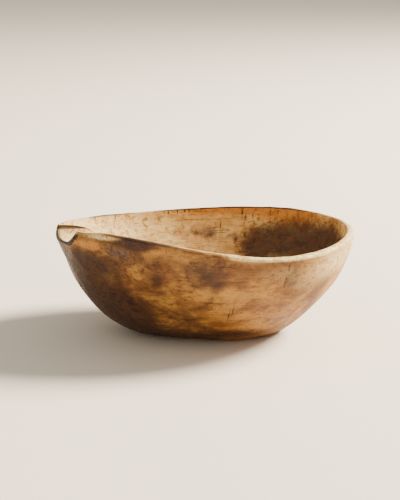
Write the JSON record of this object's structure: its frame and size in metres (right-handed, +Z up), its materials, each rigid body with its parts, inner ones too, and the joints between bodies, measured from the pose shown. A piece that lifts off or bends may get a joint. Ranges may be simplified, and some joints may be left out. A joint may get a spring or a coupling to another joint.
{
  "type": "wooden bowl",
  "caption": "Oval dug-out wooden bowl with a carved pouring spout at one end, a rim that rises beside the spout, and a flat foot.",
  "frame": {"origin": "middle of the rim oval, on the plane that the foot rests on", "axes": "+Z up; -X along the oval towards the spout end; the mouth of the spout stands 21.7 degrees round from -X towards -Y and faces 31.8 degrees round"},
  "size_m": [0.4258, 0.3445, 0.1735],
  "materials": {
    "patinated_wood": "hand-carved, worn and oiled, satin, with dark stains and a dark burnt lip"
  },
  "bodies": {
    "root": {"bowl": "patinated_wood"}
  },
  "joints": []
}
